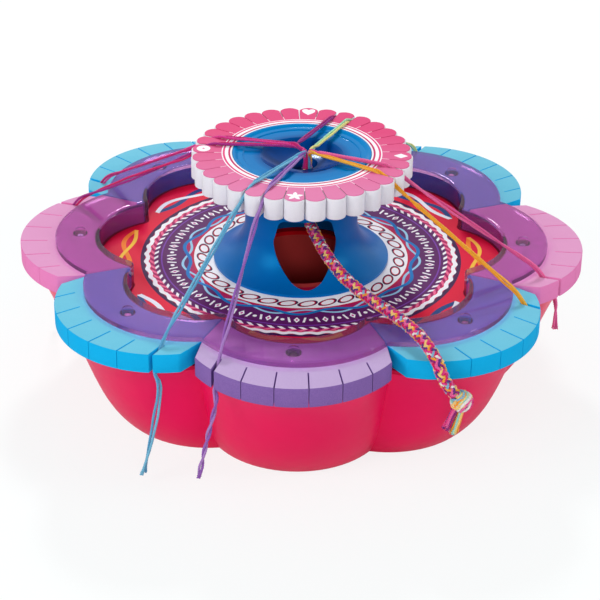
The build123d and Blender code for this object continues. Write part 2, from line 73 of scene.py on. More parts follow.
def node_top(node):
    """The height of a CAD node's top, in millimetres."""
    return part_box(node)[1][2] / MM


# Outlines, in millimetres, as in the CAD model
FOAM_DISTANCE = 89.7
FOAM_RADIUS = 52.6
FOAM_SIDE_GAP = 0.2
NOTCH_START = 112.0
NOTCH_END = 132.0
NOTCH_HALF_WIDTH = 5.2
SLIT_ANGLES = (-15.7, -9.42, -3.14, 3.14, 9.42, 15.7)
SLIT_WIDTH = 0.32
THREADED_SLIT_WIDTH = 1.6
SLIT_MARGIN = 4.2
RING_DISTANCE = 70.3
RING_RADIUS = 54.2
OPENING_DISTANCE = 66.0
OPENING_RADIUS = 36.3
OPENING_CORNER = 4.0
WALL_TO_FOAM = 2.3
POST_CIRCLE = 112.3
POST_HOLE_RADIUS = 3.8
DISC_TURN = -2.3
DISC_PETALS = 32
DISC_RADIUS = 55.0
DISC_VALLEY_RADIUS = 51.4
DISC_HOLE_RADIUS = 34.7
DISC_SLIT_START = 43.5
FOAM_LIP = 0.45
# How far the petals' tops stay under the ring, so that no two faces share a height
UNDER_RING = 0.08
# How far down the well cup's rim the painted light on its far side reaches
PAINTED_RIM_LIGHT_DEPTH = 2.4

# Threads: petal, slit in the disc, and how the strands end below the foam: how far apart, as a share of
# STRAND_SPREAD, and how many turns about each other
THREADS = {
    "violet": (0, -2, 0.9, 2.5),
    "orange": (1, 5, 0.8, 0),
    "pink": (2, 6, 1.0, 0.5),
    "mint": (3, 13, 1.5, 0.5),
    "cerise": (4, 14, 1.2, 1),
    "magenta": (5, 22, 1.4, 0.5),
    "plum": (6, 23, 1.2, 1),
    "blue": (7, -3, 1.8, 0.5),
}
# Their tails below the foam, as (radius, direction, height)
TAILS = {
    "violet": ((133.7, -104.7, 54), (135.0, -106.0, 39.6), (135.5, -107.3, 25.6), (136.0, -108.4, 11.4)),
    "orange": (),
    "pink": ((132.2, -16.0, 50), (132.6, -16.6, 42)),
    "mint": ((133.4, 61.0, 44), (135.0, 62.0, 30), (135.6, 63.2, 18)),
    "cerise": ((133.2, 74.0, 43), (134.6, 73.0, 28), (135.4, 71.8, 14)),
    "magenta": ((133.5, 150.4, 44), (135.3, 149.6, 29), (135.8, 148.4, 16)),
    "plum": ((133.3, 164.6, 43), (134.9, 165.4, 28), (135.6, 166.6, 12)),
    "blue": ((134.2, -116.6, 56), (135.5, -117.9, 36), (136.5, -119.0, 22), (137.2, -120.7, 5)),
}
# Their route, as (radius, height)
THREAD_HEIGHT = 118.6
THREAD_BEND = (44.6, THREAD_HEIGHT)
THREAD_LEAVES = (57.0, 111.2)
THREAD_TURNS = (60.0, 109.43)
THREAD_OVER_RING = (119.6, 74.2)
THREAD_INTO_SLIT = (123.8, 69.8)
THREAD_UNDER_FOAM = (131.4, 58.4)
# How far from its ends stand the points that keep a taut stretch straight
MEETING_HOLD = 3.0
BEND_HOLD = 6.0
TURN_HOLD = 6.0
RING_HOLD = 8.0
# How much higher the next pair crosses the middle
PAIR_LAYER = 0.35
# Where pairs meet over the dish, in plan: three of them pass the middle and part on its far left
EYE_MIDDLE = (3.0, -2.4)
EYE_RADIUS = 1.7
EYE_HEIGHT = 110.4
EYE_MOUTH = 114.6
MIDDLE_MEETING = (1.7, -1.6)
RIGHT_MEETING = (3.4, -1.6)
LEFT_MEETING = (-3.2, 5.7)
MEETINGS = {
    **dict.fromkeys(("violet", "blue"), (MIDDLE_MEETING,)),
    **dict.fromkeys(("orange", "pink", "mint"), (RIGHT_MEETING,)),
    **dict.fromkeys(("cerise", "magenta", "plum"), (MIDDLE_MEETING, LEFT_MEETING)),
}
PLY_RADIUS = 0.38
PLY_OFFSET = 0.34
PLY_PITCH = 3.2
STRAND_SPREAD = 0.72
FRAY_LENGTH = 4.0

# The braid's centre line, from the disc's eye out of the window and over the front right lobe to the knot
BRAID_ROUTE = [
    (3.0, -2.4, 110.4),
    (1.4, -1.2, 97.0),
    (1.2, -4.6, 89.3),
    (5.0, -14.2, 84.7),
    (8.8, -25.6, 82.5),
    (14.2, -40.2, 80.3),
    (22.8, -56.8, 77.6),
    (34.6, -71.8, 75.7),
    (48.4, -89.8, 75.6),
    (58.6, -107.0, 76.0),
    (64.9, -121.2, 72.0),
    (67.6, -122.8, 64.6),
    (70.9, -122.9, 58.9),
    (73.9, -122.6, 55.4),
]
BRAID_DIAMETER = 6.5
BRAID_WAYS = 4
BRAID_PITCH = 14.6
KNOT_RADIUS = 5.6
KNOT_FACE = 4.4
TASSEL_LENGTH = 15.0
TASSEL_DIRECTION = (-0.3, 0.0, -1.0)

# The camera, as solved from the photograph: the eye's direction, its distance, and where the target shows
CAMERA_AZIMUTH = 1.42
CAMERA_ELEVATION = 28.95
CAMERA_ROLL = 0.61
CAMERA_DISTANCE = 0.959
CAMERA_TARGET = (0.0, 0.0, 0.045)
PHOTO_SIZE = 600
CAMERA_FOCAL_PIXELS = 1866.0
TARGET_PIXEL = (300.6, 280.6)
SENSOR = 36.0

# Lamps: place and size in metres, and how bright each makes a white surface that faces it
LAMPS = {
    "back": ((-0.13, 1.15, 1.03), (0.22, 0.22), 0.5),
    "left": ((-1.15, -0.85, 0.85), (0.8, 0.8), 0.4),
    "right": ((1.3, -0.35, 0.85), (0.5, 0.5), 0.22),
    "low": ((0.12, -1.4, 0.62), (0.5, 0.3), 0.18),
}
LAMP_TARGET = (0.0, 0.0, 0.07)
# The world's strength as light, and where the camera, glass or gloss shows it
WORLD_LIGHT = 0.4
WORLD_SHOWN = 1.0
# The floor's half width in metres, its colour as light meets it and as the camera sees it, and its glow there
FLOOR_HALF = 6.0
FLOOR_COLOR = (0.8, 0.8, 0.8, 1.0)
FLOOR_SHOWN = (0.18, 0.205, 0.205, 1.0)
FLOOR_GLOW = 0.8
WHITE = (1.0, 1.0, 1.0, 1.0)


def polar(radius, angle, z=0.0):
    """A point at a distance from the axis, in a direction in degrees, at a height."""
    turn = math.radians(angle)
    return (radius * math.cos(turn), radius * math.sin(turn), z)


def reach(distance, radius, off):
    """How far from the axis a lobe's arc lies, off degrees from the lobe's middle."""
    side = distance * math.sin(math.radians(off))
    return distance * math.cos(math.radians(off)) + math.sqrt(radius**2 - side**2)


def unit(vector):
    return vector / np.linalg.norm(vector)


def toward(start, end, distance):
    """The point at a distance from the start on the way to the end."""
    start, end = np.array(start), np.array(end)
    return tuple(start + (end - start) * distance / np.linalg.norm(end - start))


# ---- camera, light and floor


def add_object(name, data):
    item = bpy.data.objects.new(name, data)
    bpy.context.scene.collection.objects.link(item)
    return item


def make_camera():
    data = bpy.data.cameras.new("camera")
    camera = add_object("camera", data)
    azimuth, elevation, roll = (math.radians(a) for a in (CAMERA_AZIMUTH, CAMERA_ELEVATION, CAMERA_ROLL))
    out = math.cos(elevation)
    back = Vector((math.sin(azimuth) * out, -math.cos(azimuth) * out, math.sin(elevation)))
    level = Vector((math.cos(azimuth), math.sin(azimuth), 0))
    up = back.cross(level)
    right = level * math.cos(roll) + up * math.sin(roll)
    up = back.cross(right)
    turn = Matrix((right, up, back)).transposed().to_4x4()
    camera.matrix_world = Matrix.Translation(Vector(CAMERA_TARGET) + back * CAMERA_DISTANCE) @ turn
    data.sensor_width = SENSOR
    data.lens = CAMERA_FOCAL_PIXELS / PHOTO_SIZE * SENSOR
    data.shift_x = (PHOTO_SIZE / 2 - TARGET_PIXEL[0]) / PHOTO_SIZE
    data.shift_y = (TARGET_PIXEL[1] - PHOTO_SIZE / 2) / PHOTO_SIZE
    data.clip_start = 0.01
    data.clip_end = 100
    bpy.context.scene.camera = camera


def area_light(name, place, size, brightness):
    """A lamp that lights a white surface facing it, at the target, to the given brightness."""
    data = bpy.data.lights.new(name, "AREA")
    data.shape = "RECTANGLE"
    data.size, data.size_y = size
    aim = Vector(LAMP_TARGET) - Vector(place)
    data.energy = brightness * math.pi**2 * aim.length_squared
    light = add_object(name, data)
    light.location = place
    light.rotation_euler = aim.to_track_quat("-Z", "Y").to_euler()


def make_world():
    """A white world that lights less than it shows."""
    world = bpy.data.worlds.new("studio")
    bpy.context.scene.world = world
    world.use_nodes = True
    tree = world.node_tree
    background = tree.nodes["Background"]
    background.inputs["Color"].default_value = WHITE
    shown = light_path(tree, "Camera", "Transmission", "Glossy")
    tree.links.new(shown.between(WORLD_LIGHT, WORLD_SHOWN).socket, background.inputs["Strength"])


def make_floor():
    """A floor that the camera sees as pale, and that keeps the shadow."""
    mesh = bpy.data.meshes.new("floor")
    corners = [(x * FLOOR_HALF, y * FLOOR_HALF, 0) for x, y in ((-1, -1), (1, -1), (1, 1), (-1, 1))]
    mesh.from_pydata(corners, [], [(0, 1, 2, 3)])
    finish = Finish("floor", FLOOR_COLOR, 0.9, Specular_IOR_Level=0.0)
    seen = light_path(finish.tree, "Camera")
    finish.over(seen, FLOOR_SHOWN)
    glow = add_node(finish.tree, "Emission", {"Color": WHITE, "Strength": (seen * FLOOR_GLOW).socket})
    finish.show(add_node(finish.tree, "AddShader", {0: finish.shader.outputs[0], 1: glow.outputs[0]}))
    mesh.materials.append(finish.material)
    add_object("floor", mesh)


# ---- materials


def rgb(red, green, blue):
    """A colour as it shows, 0 to 255, in the linear values that shaders take."""
    channels = (c / 255 for c in (red, green, blue))
    return (*(c / 12.92 if c <= 0.04045 else ((c + 0.055) / 1.055) ** 2.4 for c in channels), 1.0)


def add_node(tree, kind, inputs, **settings):
    """A shader node of a kind, its inputs set to values or linked to sockets."""
    node = tree.nodes.new(f"ShaderNode{kind}")
    for name, value in settings.items():
        setattr(node, name, value)
    for name, value in inputs.items():
        if isinstance(value, bpy.types.NodeSocket):
            tree.links.new(value, node.inputs[name])
        else:
            node.inputs[name].default_value = value
    return node


def light_path(tree, *rays):
    """1 or more for the kinds of ray that are named, and 0 for others."""
    outputs = add_node(tree, "LightPath", {}).outputs
    kinds = [Field(tree, outputs[f"Is {ray} Ray"]) for ray in rays]
    return sum(kinds[1:], kinds[0])


class Field:
    """A number that varies over a surface: a socket of a node tree, with Python's arithmetic."""

    def __init__(self, tree, socket):
        self.tree = tree
        self.socket = socket

    def math(self, operation, *others):
        values = [other.socket if isinstance(other, Field) else other for other in (self, *others)]
        node = add_node(self.tree, "Math", dict(enumerate(values)), operation=operation)
        return Field(self.tree, node.outputs[0])

    __add__ = partialmethod(math, "ADD")
    __sub__ = partialmethod(math, "SUBTRACT")
    __mul__ = partialmethod(math, "MULTIPLY")
    __truediv__ = partialmethod(math, "DIVIDE")
    __and__ = partialmethod(math, "MULTIPLY")
    __gt__ = partialmethod(math, "GREATER_THAN")
    __lt__ = partialmethod(math, "LESS_THAN")
    abs = partialmethod(math, "ABSOLUTE")
    power = partialmethod(math, "POWER")

    def within(self, low, high):
        """1 between two values, and 0 elsewhere."""
        return (self > low) & (self < high)

    def near(self, other, width):
        """1 where the two differ by less than half the width."""
        return (self - other).abs() < width / 2

    def wave(self, turns, shift=0.0):
        """A sine of an angle in turns: so many waves in a whole turn."""
        return (self * (TURN * turns) + TURN * shift).math("SINE")

    def repeat(self, count, shift=0.0):
        """Where in its repeat an angle in turns lies, from -0.5 to 0.5, for so many repeats in a turn."""
        return (self * count + shift).math("FRACT") - 0.5

    def _map_range(self, ends):
        return Field(self.tree, add_node(self.tree, "MapRange", {"Value": self.socket, **ends}).outputs[0])

    def ramp(self, low, high):
        """The stretch from low to high as 0 to 1."""
        return self._map_range({"From Min": low, "From Max": high})

    def between(self, low, high):
        """0 to 1 as low to high."""
        return self._map_range({"To Min": low, "To Max": high})


# The sockets of a Mix node for colours: the two that it mixes, and the result
MIX_UNDER, MIX_OVER, MIX_RESULT = 6, 7, 2


class Finish:
    """A material under way: a Principled shader with its node tree."""

    def __init__(self, name, color, roughness, **sockets):
        self.material = bpy.data.materials.new(name)
        self.material.use_nodes = True
        self.tree = self.material.node_tree
        self.shader = self.tree.nodes["Principled BSDF"]
        for socket, value in {"Base_Color": color, "Roughness": roughness, **sockets}.items():
            self.shader.inputs[socket.replace("_", " ")].default_value = value
        self.place = add_node(self.tree, "TexCoord", {}).outputs["Object"]
        self.color = color

    def axes(self):
        """The place on the object along X, Y and Z, in millimetres."""
        parts = add_node(self.tree, "SeparateXYZ", {0: self.place})
        return [Field(self.tree, axis) * (1 / MM) for axis in parts.outputs]

    def noise(self, size, detail, roughness=0.5):
        """Smooth noise from 0 to 1, its lumps about so many millimetres across."""
        inputs = {"Vector": self.place, "Scale": 1 / (size * MM), "Detail": detail, "Roughness": roughness}
        return Field(self.tree, add_node(self.tree, "TexNoise", inputs).outputs["Fac"])

    def over(self, mask, color):
        """A colour laid over what is there, where the mask is 1."""
        inputs = {"Factor": mask.socket, MIX_UNDER: self.color, MIX_OVER: color}
        self.color = add_node(self.tree, "Mix", inputs, data_type="RGBA").outputs[MIX_RESULT]
        self.tree.links.new(self.color, self.shader.inputs["Base Color"])
        return self

    def rough(self, field, low, high):
        self.tree.links.new(field.between(low, high).socket, self.shader.inputs["Roughness"])

    def bump(self, field, height, strength):
        """Relief so many millimetres high."""
        inputs = {"Height": field.socket, "Distance": height * MM, "Strength": strength}
        node = add_node(self.tree, "Bump", inputs)
        self.tree.links.new(node.outputs["Normal"], self.shader.inputs["Normal"])

    def show(self, node):
        """The material's surface is what another shader makes of this one."""
        self.tree.links.new(node.outputs[0], self.tree.nodes["Material Output"].inputs["Surface"])


def moulded(name, color, deep, roughness, specular, shine):
    """Moulded plastic: a faint cloudiness in the colour, and a skin that isn't quite even."""
    finish = Finish(name, rgb(*color), roughness, Specular_IOR_Level=specular, Specular_Tint=shine)
    finish.over(finish.noise(34, 3).ramp(0.35, 0.7) * 0.35, rgb(*deep))
    finish.rough(finish.noise(4, 4, 0.6), roughness * 0.8, roughness * 1.3)
    finish.bump(finish.noise(9, 2), 0.05, 0.25)
    return finish


# Skins of foam: colour, deeper colour, sheen, and how strongly the pores show
FOAM_SKINS = {
    "foam_blue_top": ((108, 196, 222), (84, 178, 212), 0.12, 0.3),
    "foam_blue_side": ((8, 176, 232), (0, 158, 222), 0.0, 0.3),
    "foam_lilac_top": ((194, 170, 212), (170, 140, 198), 0.12, 0.5),
    "foam_lilac_side": ((136, 104, 172), (104, 76, 148), 0.0, 0.6),
    "foam_pink_top": ((224, 156, 200), (214, 134, 188), 0.12, 0.3),
    "foam_pink_side": ((232, 134, 190), (218, 112, 176), 0.0, 0.3),
    "foam_white": ((236, 236, 242), (220, 220, 232), 0.12, 0.3),
}


def foam_skin(name):
    """Closed-cell foam: matt, with fine pores."""
    color, deep, sheen, grain = FOAM_SKINS[name]
    finish = Finish(name, rgb(*color), 0.85, Sheen_Weight=sheen, Sheen_Roughness=0.5, Specular_IOR_Level=0.12)
    speckle = finish.noise(0.45, 2, 0.7).ramp(0.38, 0.68)
    cloud = finish.noise(12, 3).ramp(0.35, 0.75)
    finish.over(speckle * grain, rgb(*deep)).over(cloud * 0.15, rgb(*deep))
    finish.bump(finish.noise(0.5, 3, 0.7), 0.12, 0.6)
    return finish.material


def floss(name, color, shade):
    """Cotton floss: matt, soft at its edge, with painted shade in blotches for the hollows between its
    fibres, a share as bright as its colour.
    """
    finish = Finish(name, rgb(*color), 0.8, Sheen_Weight=0.3, Sheen_Roughness=0.4, Specular_IOR_Level=0.15)
    finish.over(finish.noise(0.5, 3, 0.7).ramp(0.42, 0.72) * 0.6, rgb(*(c * shade for c in color)))
    finish.bump(finish.noise(0.22, 2, 0.7), 0.08, 0.8)
    return finish.material


CLEAR_TINT = (0.52, 0.26, 0.52)


def clear_plastic():
    """Clear purple plastic, polished and faintly milky, whose shadow takes its colour."""
    sockets = {"Transmission_Weight": 0.92, "IOR": 1.12, "Coat_Weight": 0.25, "Coat_Roughness": 0.03}
    finish = Finish("clear_purple", (*CLEAR_TINT, 1.0), 0.03, **sockets)
    finish.bump(finish.noise(14, 2), 0.04, 0.2)
    tint = (*(math.sqrt(c) for c in CLEAR_TINT), 1.0)
    through = add_node(finish.tree, "BsdfTransparent", {"Color": tint})
    shadow = light_path(finish.tree, "Shadow")
    shaders = {0: shadow.socket, 1: finish.shader.outputs[0], 2: through.outputs[0]}
    finish.show(add_node(finish.tree, "MixShader", shaders))
    return finish.material


def brushed_steel(name):
    finish = Finish(name, rgb(214, 214, 220), 0.3, Metallic=0.8)
    finish.rough(finish.noise(0.8, 3), 0.4, 0.6)
    return finish.material


# ---- meshes


def finish_object(name, mesh, materials, smooth_angle):
    """An object of a mesh in millimetres, in metres, with smooth faces and sharp edges."""
    mesh.transform(Matrix.Scale(MM, 4))
    for material in materials:
        mesh.materials.append(material)
    mesh.shade_smooth()
    mesh.set_sharp_from_angle(angle=math.radians(smooth_angle))
    mesh.update()
    return add_object(name, mesh)


def arc(centre, radius, first, last, count):
    """Points of an arc in the plane, its angles in degrees."""
    angles = np.radians(np.linspace(first, last, count))
    return [(centre[0] + radius * math.cos(a), centre[1] + radius * math.sin(a)) for a in angles]


def inset_loop(points, inset):
    """A closed outline moved into its material, which lies on its left."""
    count = len(points)
    moved = []
    for i in range(count):
        before = Vector(points[i]) - Vector(points[i - 1])
        after = Vector(points[(i + 1) % count]) - Vector(points[i])
        before.normalize()
        after.normalize()
        left = Vector((-before.y, before.x)) + Vector((-after.y, after.x))
        left.normalize()
        lean = max(0.5, left.dot(Vector((-after.y, after.x))))
        moved.append((points[i][0] + left.x * inset / lean, points[i][1] + left.y * inset / lean))
    return moved


def slab(name, loops, levels):
    """A flat body over outlines, the outer one counter-clockwise and holes clockwise.

    The levels are (height, inset) pairs from the underside up, so that its edges can be round. Its top has
    the first material, and the rest has the second.
    """
    points = []
    faces = []
    starts = []
    for z, inset in levels:
        for loop in loops:
            starts.append(len(points))
            points += [(x, y, z) for x, y in inset_loop(loop, inset)]
    for level in range(len(levels) - 1):
        for i, loop in enumerate(loops):
            low = starts[level * len(loops) + i]
            high = starts[(level + 1) * len(loops) + i]
            count = len(loop)
            for j in range(count):
                k = (j + 1) % count
                faces.append((low + j, low + k, high + k, high + j))
    for level in (0, len(levels) - 1):
        first = starts[level * len(loops)]
        size = sum(len(loop) for loop in loops)
        cap = [Vector(p) for p in points[first : first + size]]
        split = []
        for loop in loops:
            split.append(cap[: len(loop)])
            cap = cap[len(loop) :]
        for a, b, c in tessellate_polygon(split):
            corners = [Vector(points[first + n][:2]) for n in (a, b, c)]
            counter = (corners[1] - corners[0]).cross(corners[2] - corners[0]) > 0
            if counter != (level > 0):
                a, c = c, a
            faces.append((first + a, first + b, first + c))
    mesh = bpy.data.meshes.new(name)
    mesh.from_pydata(points, [], faces)
    mesh.validate()
    mesh.polygons.foreach_set("material_index", [int(p.normal.z < 0.8) for p in mesh.polygons])
    return mesh


def rounded_levels(bottom, top, lip):
    """Slab levels with round lips at the underside and the top."""
    steps = [(lip * (1 - math.cos(a)), lip * (1 - math.sin(a))) for a in np.radians((0, 30, 60, 90))]
    rise = [(bottom + z, inset) for z, inset in steps]
    fall = [(top - z, inset) for z, inset in reversed(steps)]
    return rise + fall


def smooth_line(points):
    """The line that a NURBS spline of order 3 draws from its control points, all in millimetres."""
    curve = bpy.data.curves.new("route", "CURVE")
    curve.dimensions = "3D"
    spline = curve.splines.new("NURBS")
    spline.points.add(len(points) - 1)
    for control, point in zip(spline.points, points):
        control.co = (*(v * MM for v in point), 1.0)
    spline.order_u = 3
    spline.use_endpoint_u = True
    spline.resolution_u = 24
    holder = bpy.data.objects.new("route", curve)
    mesh = bpy.data.meshes.new_from_object(holder)
    line = np.array([v.co for v in mesh.vertices]) / MM
    bpy.data.objects.remove(holder)
    bpy.data.curves.remove(curve)
    bpy.data.meshes.remove(mesh)
    return line


def run_along(line):
    """How far along a line each of its points lies."""
    return np.concatenate([[0], np.cumsum(np.linalg.norm(np.diff(line, axis=0), axis=1))])


def evenly(line, step):
    """Points along a line, about a step apart, and how far along it each lies."""
    run = run_along(line)
    along = np.linspace(0, run[-1], max(2, round(run[-1] / step) + 1))
    return np.stack([np.interp(along, run, line[:, i]) for i in range(3)], 1), along


def directions(line):
    steps = np.gradient(line, axis=0)
    return steps / np.linalg.norm(steps, axis=1)[:, None]


def carried_sides(line, first):
    """Two directions square to a line at each point, carried along it without twist."""
    ahead = directions(line)
    side = np.array(first, float)
    sides = []
    for direction in ahead:
        side = unit(side - direction * side.dot(direction))
        sides.append(side)
    sides = np.array(sides)
    return sides, np.cross(ahead, sides)


def round_about(line, sides, turns, radius):
    """A line that winds about another: its turn in whole turns, and its distance, at each point."""
    side, up = sides
    phase = TURN * np.asarray(turns)
    radius = np.broadcast_to(radius, len(line))
    return line + radius[:, None] * (np.cos(phase)[:, None] * side + np.sin(phase)[:, None] * up)


# How thick a strand's very ends are, as a share, and how many sides a ply has
STRAND_TIP = 0.25
PLY_SIDES = 5
# Where the first side of a strand and of a ply points: along none of the lines
STRAND_SIDE = (0.3, 0.5, 0.81)
PLY_SIDE = (0.31, 0.43, 0.85)


class Bundle:
    """Round strands gathered into one mesh."""

    def __init__(self, name):
        self.name = name
        self.points = []
        self.faces = []
        self.slots = []

    def strand(self, line, radius, sides, slot=0, taper=0.0):
        """A round strand along a line. The taper is the length over which its ends narrow."""
        start = len(self.points)
        about = carried_sides(line, np.cross(directions(line)[0], STRAND_SIDE))
        sizes = np.full(len(line), radius)
        if taper:
            run = run_along(line)
            end = np.minimum(run, run[-1] - run) / taper
            sizes = radius * (STRAND_TIP + (1 - STRAND_TIP) * np.sqrt(np.minimum(1.0, end)))
        rings = [round_about(line, about, np.full(len(line), j / sides), sizes) for j in range(sides)]
        self.points += np.stack(rings, 1).reshape(-1, 3).tolist()
        for i in range(len(line) - 1):
            for j in range(sides):
                a = start + i * sides + j
                b = start + i * sides + (j + 1) % sides
                self.faces.append((a, b, b + sides, a + sides))
        last = start + (len(line) - 1) * sides
        self.faces.append(tuple(range(start + sides - 1, start - 1, -1)))
        self.faces.append(tuple(range(last, last + sides)))
        self.slots += [slot] * ((len(line) - 1) * sides + 2)

    def twisted(self, line, plies, ply_radius, offset, turns, slot=0, taper=0.0, side=PLY_SIDE):
        """A strand of plies that wind about a line at an offset, by so many turns at each point."""
        about = carried_sides(line, side)
        for ply in range(plies):
            winding = round_about(line, about, ply / plies + turns, offset)
            self.strand(winding, ply_radius, PLY_SIDES, slot, taper)

    def piece(self, materials):
        mesh = bpy.data.meshes.new(self.name)
        mesh.from_pydata(self.points, [], self.faces)
        mesh.polygons.foreach_set("material_index", self.slots)
        return finish_object(self.name, mesh, materials, 80.0)


# ---- foam


def threaded_slit(petal):
    return SLIT_ANGLES[-1] if petal % 2 else SLIT_ANGLES[0]


def bearing(x, y):
    """The angle of a direction in plan, in degrees."""
    return math.degrees(math.atan2(y, x))


def plan_axes(angle):
    """The direction at an angle in plan, and the one on its left."""
    turn = math.radians(angle)
    ahead = Vector((math.cos(turn), math.sin(turn)))
    return ahead, Vector((-ahead.y, ahead.x))


def slit_edge(centre, radius, angle, offset):
    """Where a line beside a radius of the machine meets a circle on the X axis."""
    ahead, side = plan_axes(angle)
    hub = Vector((centre, 0))
    middle = ahead.dot(hub)
    run = middle + math.sqrt(middle**2 - hub.dot(hub) - offset**2 + 2 * offset * side.dot(hub) + radius**2)
    return ahead * run + side * offset


def slit_cut(centre, radius, angle, start, width):
    """The three sides of a slit, from the outline in, across and out again."""
    ahead, side = plan_axes(angle)
    half = width / 2
    near, far = (slit_edge(centre, radius, angle, s * half) for s in (-1, 1))
    inner_near, inner_far = ahead * start - side * half, ahead * start + side * half
    return [tuple(near), tuple(inner_near), tuple(inner_far), tuple(far)]


def petal_outline(petal):
    """One petal's outline, counter-clockwise, pointing along +X."""
    half = LOBE_STEP / 2
    inner_radius = OPENING_RADIUS + WALL_TO_FOAM
    corner = OPENING_CORNER - WALL_TO_FOAM
    corner_distance = reach(OPENING_DISTANCE, inner_radius + corner, half)
    hub = Vector(polar(corner_distance, half)[:2])
    to_lobe = Vector((OPENING_DISTANCE, 0)) - hub
    tangent = bearing(to_lobe.x, to_lobe.y)
    lobe_end = bearing(-to_lobe.x, -to_lobe.y)
    peak = polar(corner_distance - corner, half - math.degrees(FOAM_SIDE_GAP / corner_distance))[:2]
    peak_angle = bearing(peak[0] - hub.x, peak[1] - hub.y) % 360
    upper_corner = arc(hub, corner, peak_angle, tangent % 360, 6)
    lobe = arc((OPENING_DISTANCE, 0), inner_radius, lobe_end, -lobe_end, 40)
    lower_corner = [(x, -y) for x, y in reversed(upper_corner)]

    side_start = Vector(polar(NOTCH_START, half - math.degrees(FOAM_SIDE_GAP / NOTCH_START))[:2])
    side_end = Vector(polar(NOTCH_END, half - math.degrees(NOTCH_HALF_WIDTH / NOTCH_END))[:2])
    along = (side_end - side_start).normalized()
    to_start = side_start - Vector((FOAM_DISTANCE, 0))
    across = to_start.dot(along)
    run = -across + math.sqrt(across**2 - to_start.dot(to_start) + FOAM_RADIUS**2)
    tip = side_start + along * run
    tip_angle = bearing(tip.x - FOAM_DISTANCE, tip.y)

    outline = [(side_start.x, -side_start.y), (tip.x, -tip.y)]
    angle = -tip_angle
    for slit in SLIT_ANGLES:
        start = reach(RING_DISTANCE, RING_RADIUS + SLIT_MARGIN, slit)
        width = THREADED_SLIT_WIDTH if slit == threaded_slit(petal) else SLIT_WIDTH
        cut = slit_cut(FOAM_DISTANCE, FOAM_RADIUS, slit, start, width)
        stop = bearing(cut[0][0] - FOAM_DISTANCE, cut[0][1])
        outline += arc((FOAM_DISTANCE, 0), FOAM_RADIUS, angle, stop, 9)[1:-1] + cut
        angle = bearing(cut[-1][0] - FOAM_DISTANCE, cut[-1][1])
    outline += arc((FOAM_DISTANCE, 0), FOAM_RADIUS, angle, tip_angle, 9)[1:]
    outline.append(tuple(side_start))
    return outline + upper_corner + lobe[1:-1] + lower_corner


def turned(points, angle):
    turn = math.radians(angle)
    cos, sin = math.cos(turn), math.sin(turn)
    return [(x * cos - y * sin, x * sin + y * cos) for x, y in points]


def hole(x, y, radius, count=24):
    """A round hole, clockwise."""
    return list(reversed(arc((x, y), radius, 0, 360 - 360 / count, count)))


def foam_piece(name, mesh, skins, body, node):
    piece = finish_object(name, mesh, skins, 40.0)
    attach(piece, body)
    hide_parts(node)


def make_foam_petals():
    slots = ("foam_blue", "foam_lilac", "foam_pink")
    skins = {slot: (foam_skin(f"{slot}_top"), foam_skin(f"{slot}_side")) for slot in slots}
    for petal, name in enumerate(PETAL_NAMES):
        node = f"foam_petal_{name}"
        direction = FRONT + petal * LOBE_STEP
        post = polar(POST_CIRCLE, direction)
        loops = [turned(petal_outline(petal), direction), hole(post[0], post[1], POST_HOLE_RADIUS)]
        mesh = slab(node, loops, rounded_levels(node_floor(node), node_top(node) - UNDER_RING, FOAM_LIP))
        slot = {0: "foam_lilac", 2: "foam_pink"}.get(petal % 4, "foam_blue")
        foam_piece(f"petal_{name}", mesh, skins[slot], "top", node)


def disc_slit_angle(slit):
    return FRONT + DISC_TURN + (slit + 0.5) * 360 / DISC_PETALS


def disc_outline():
    """The disc's scalloped outline with its slits, counter-clockwise."""
    half_step = 180 / DISC_PETALS
    valley = polar(DISC_VALLEY_RADIUS, half_step)
    run = DISC_RADIUS - valley[0]
    petal_radius = (run**2 + valley[1] ** 2) / (2 * run)
    centre = DISC_RADIUS - petal_radius
    held = [thread[1] % DISC_PETALS for thread in THREADS.values()]
    outline = []
    for i in range(DISC_PETALS):
        widths = [THREADED_SLIT_WIDTH if s % DISC_PETALS in held else SLIT_WIDTH for s in (i - 1, i)]
        ends = [math.degrees(math.asin((valley[1] - w / 2) / petal_radius)) for w in widths]
        points = arc((centre, 0), petal_radius, -ends[0], ends[1], 11)
        ahead, side = plan_axes(half_step)
        inner = ahead * DISC_SLIT_START
        points += [tuple(inner - side * widths[1] / 2), tuple(inner + side * widths[1] / 2)]
        outline += turned(points, FRONT + DISC_TURN + i * 360 / DISC_PETALS)
    return outline


def make_foam_disc():
    white = foam_skin("foam_white")
    bottom, top = node_floor("foam_disc"), node_top("foam_disc")
    loops = [disc_outline(), hole(0, 0, DISC_HOLE_RADIUS, 96)]
    mesh = slab("disc_foam", loops, rounded_levels(bottom, top, FOAM_LIP))
    foam_piece("disc_foam", mesh, (white, white), "disc", "foam_disc")


# ---- threads


def swept(places, angle):
    """Places given as (radius, height), in a direction."""
    return [polar(radius, angle, height) for radius, height in places]


